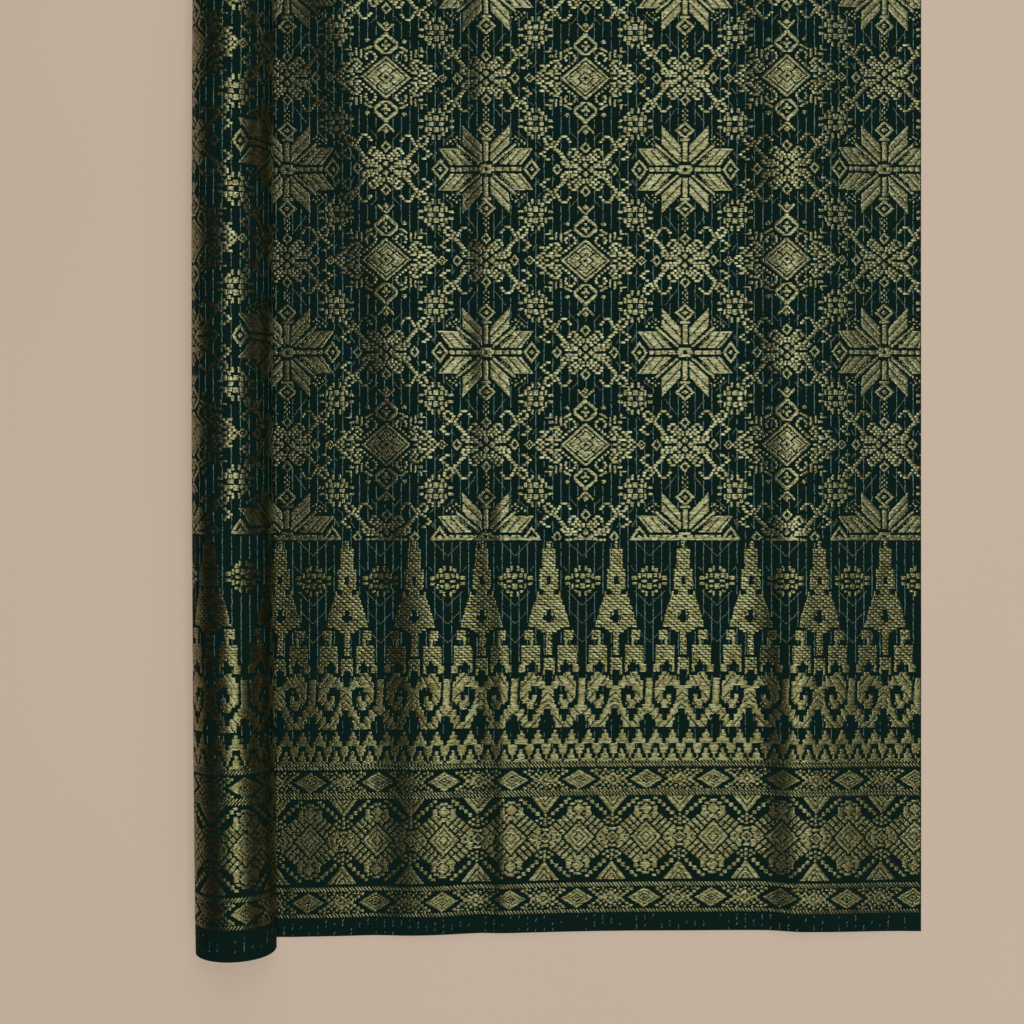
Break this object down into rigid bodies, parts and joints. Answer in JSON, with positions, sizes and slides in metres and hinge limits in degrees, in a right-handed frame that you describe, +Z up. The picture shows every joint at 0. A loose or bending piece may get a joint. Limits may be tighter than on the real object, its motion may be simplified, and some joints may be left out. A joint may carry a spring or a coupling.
{
  "type": "songket cloth",
  "caption": "A cut length of songket cloth lying face up, one side wound into a long roll, with a floral ground, a border of spires and bands, and a plain hem.",
  "frame": {"origin": "centre of the whole piece's bounding box at its base, on the surface that the cloth lies on", "axes": "+X runs across the cloth from the roll to the plain cut edge, +Y runs from the hem to the far edge, +Z is up, out of the cloth's face"},
  "size_m": [0.363, 0.5, 0.0385],
  "materials": {
    "songket": "dark green plain weave with raised gold thread floats and pale turquoise warp dashes"
  },
  "bodies": {
    "root": {"songket_cloth": "songket"}
  },
  "joints": []
}
